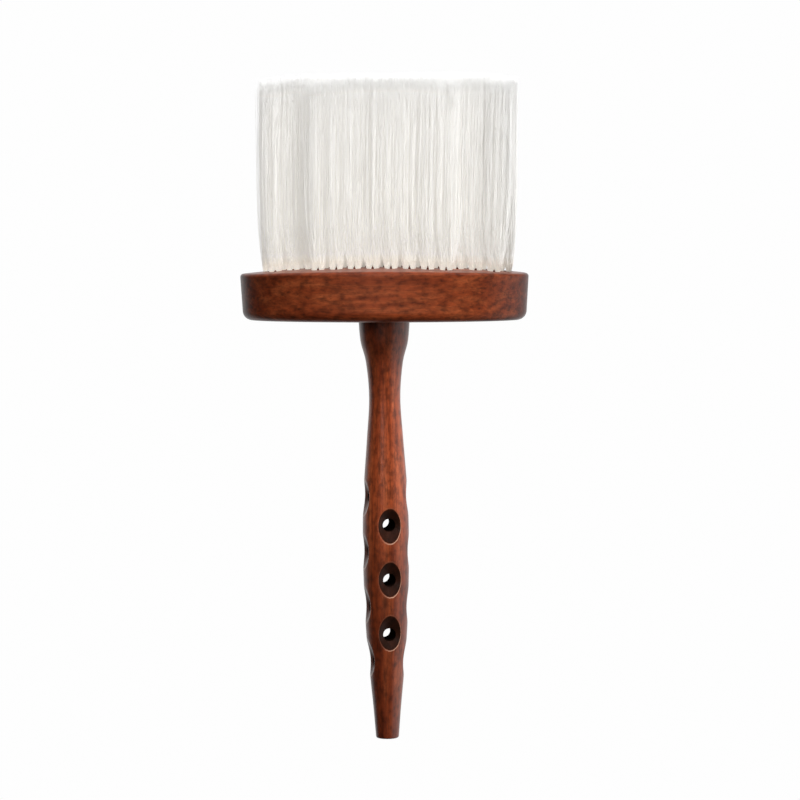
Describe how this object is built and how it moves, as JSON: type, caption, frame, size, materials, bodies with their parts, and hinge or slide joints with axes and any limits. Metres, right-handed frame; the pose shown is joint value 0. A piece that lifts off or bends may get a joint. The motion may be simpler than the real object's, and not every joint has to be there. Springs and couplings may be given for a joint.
{
  "type": "neck duster brush",
  "caption": "Neck duster brush with an oval wooden head, long soft pale bristles set in tufts, and a turned wooden handle pierced by countersunk cross holes.",
  "frame": {"origin": "centre of the handle's end face, under the middle of the head", "axes": "+Z along the handle from its end to the bristle tips, X along the head's long side, Y across the head"},
  "size_m": [0.1102, 0.0478, 0.252],
  "materials": {
    "stained_wood": "red-brown stained beech with a satin clear varnish",
    "nylon_bristle": "soft off-white translucent nylon filament",
    "steel": "bright zinc-plated steel"
  },
  "bodies": {
    "root": {"head_block": "stained_wood", "handle": "stained_wood", "hanger_screw": "steel", "bristle_tuft_01": "nylon_bristle", "bristle_tuft_02": "nylon_bristle", "bristle_tuft_03": "nylon_bristle", "bristle_tuft_04": "nylon_bristle", "bristle_tuft_05": "nylon_bristle", "bristle_tuft_06": "nylon_bristle", "bristle_tuft_07": "nylon_bristle", "bristle_tuft_08": "nylon_bristle", "bristle_tuft_09": "nylon_bristle", "bristle_tuft_10": "nylon_bristle", "bristle_tuft_11": "nylon_bristle", "bristle_tuft_12": "nylon_bristle", "bristle_tuft_13": "nylon_bristle", "bristle_tuft_14": "nylon_bristle", "bristle_tuft_15": "nylon_bristle", "bristle_tuft_16": "nylon_bristle", "bristle_tuft_17": "nylon_bristle", "bristle_tuft_18": "nylon_bristle", "bristle_tuft_19": "nylon_bristle", "bristle_tuft_20": "nylon_bristle", "bristle_tuft_21": "nylon_bristle", "bristle_tuft_22": "nylon_bristle", "bristle_tuft_23": "nylon_bristle", "bristle_tuft_24": "nylon_bristle", "bristle_tuft_25": "nylon_bristle", "bristle_tuft_26": "nylon_bristle", "bristle_tuft_27": "nylon_bristle", "bristle_tuft_28": "nylon_bristle", "bristle_tuft_29": "nylon_bristle", "bristle_tuft_30": "nylon_bristle", "bristle_tuft_31": "nylon_bristle", "bristle_tuft_32": "nylon_bristle", "bristle_tuft_33": "nylon_bristle", "bristle_tuft_34": "nylon_bristle", "bristle_tuft_35": "nylon_bristle", "bristle_tuft_36": "nylon_bristle", "bristle_tuft_37": "nylon_bristle", "bristle_tuft_38": "nylon_bristle", "bristle_tuft_39": "nylon_bristle", "bristle_tuft_40": "nylon_bristle", "bristle_tuft_41": "nylon_bristle", "bristle_tuft_42": "nylon_bristle", "bristle_tuft_43": "nylon_bristle", "bristle_tuft_44": "nylon_bristle", "bristle_tuft_45": "nylon_bristle", "bristle_tuft_46": "nylon_bristle", "bristle_tuft_47": "nylon_bristle", "bristle_tuft_48": "nylon_bristle", "bristle_tuft_49": "nylon_bristle", "bristle_tuft_50": "nylon_bristle", "bristle_tuft_51": "nylon_bristle", "bristle_tuft_52": "nylon_bristle", "bristle_tuft_53": "nylon_bristle", "bristle_tuft_54": "nylon_bristle", "bristle_tuft_55": "nylon_bristle", "bristle_tuft_56": "nylon_bristle"}
  },
  "joints": []
}
